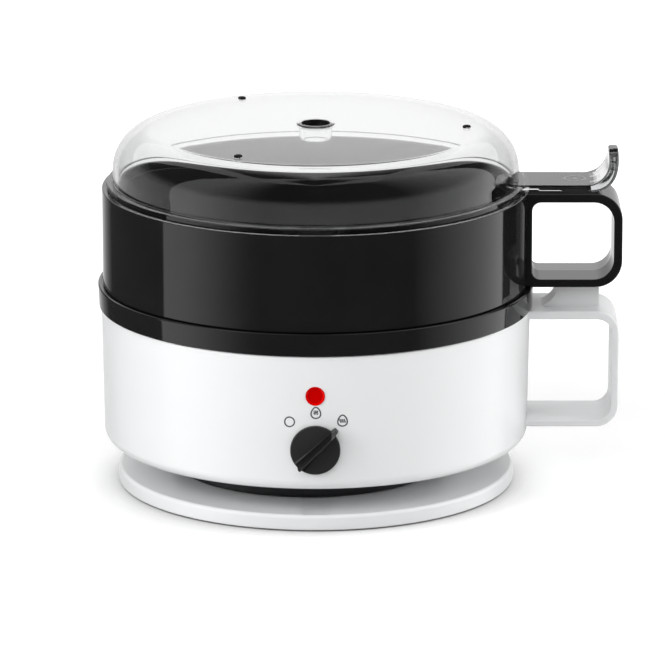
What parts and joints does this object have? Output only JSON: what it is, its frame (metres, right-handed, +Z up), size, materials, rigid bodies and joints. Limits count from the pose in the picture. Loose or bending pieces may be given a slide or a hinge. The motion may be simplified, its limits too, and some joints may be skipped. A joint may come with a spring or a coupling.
{
  "type": "egg cooker",
  "caption": "Round electric egg cooker: white housing on a disc, black egg carrier with a loop handle, clear domed lid, knob and lamp on the front.",
  "frame": {"origin": "on the vertical axis of the round body, in the plane that the rubber feet stand on, half a millimetre below the flat underside", "axes": "+Z up; the knob faces -Y; both handles point along +X"},
  "size_m": [0.2207, 0.1916, 0.1545],
  "materials": {
    "white_plastic": "glossy white moulded plastic",
    "black_plastic": "glossy black moulded plastic",
    "clear_plastic": "clear polished plastic",
    "red_lens": "clear red plastic",
    "rubber": "matt black rubber",
    "silicone": "grey silicone",
    "steel": "brushed stainless steel",
    "aluminium": "plain aluminium",
    "brass": "plain brass",
    "cream_plastic": "heat-proof cream plastic",
    "lamp_glass": "clear glass",
    "wire_brown": "brown wire sleeve",
    "wire_blue": "blue wire sleeve",
    "wire_red": "red wire sleeve"
  },
  "bodies": {
    "base": {"base_disc": "white_plastic", "base_underplate": "black_plastic", "foot_1": "rubber", "foot_2": "rubber", "foot_3": "rubber", "foot_4": "rubber", "base_screw_1": "steel", "base_screw_2": "steel", "base_screw_3": "steel", "cord_drum": "black_plastic", "cord_gland": "rubber", "housing": "white_plastic", "collar": "black_plastic", "collar_screw_1": "steel", "collar_screw_2": "steel", "collar_screw_3": "steel", "terminal_block": "cream_plastic", "wire_live": "wire_brown", "wire_neutral": "wire_blue", "wire_switched": "wire_red", "wire_element": "wire_red", "heating_bowl": "steel", "bowl_seal": "silicone", "heating_element": "aluminium", "heat_shield": "aluminium", "thermostat": "cream_plastic", "thermostat_bracket": "steel", "thermal_fuse": "brass", "stud_nut_1": "steel", "stud_nut_2": "steel", "rotary_switch": "cream_plastic", "switch_screw_1": "steel", "switch_screw_2": "steel", "lamp_lens": "red_lens", "lamp_holder": "cream_plastic", "neon_lamp": "lamp_glass"},
    "carrier": {"egg_carrier": "black_plastic", "egg_rack": "black_plastic"},
    "lid": {"lid": "clear_plastic"},
    "knob": {"knob": "black_plastic", "switch_spindle": "brass"}
  },
  "joints": [
    {"name": "carrier_lift", "type": "slide", "parent": "base", "child": "carrier", "axis": [0, 0, 1], "range_m": [0, 0.12]},
    {"name": "lid_lift", "type": "slide", "parent": "carrier", "child": "lid", "axis": [0, 0, 1], "range_m": [0, 0.1]},
    {"name": "knob_turn", "type": "hinge", "parent": "base", "child": "knob", "pos_m": [0, -0.0902, 0.0372], "axis": [0, -1, 0], "range_deg": [0, 90]}
  ]
}
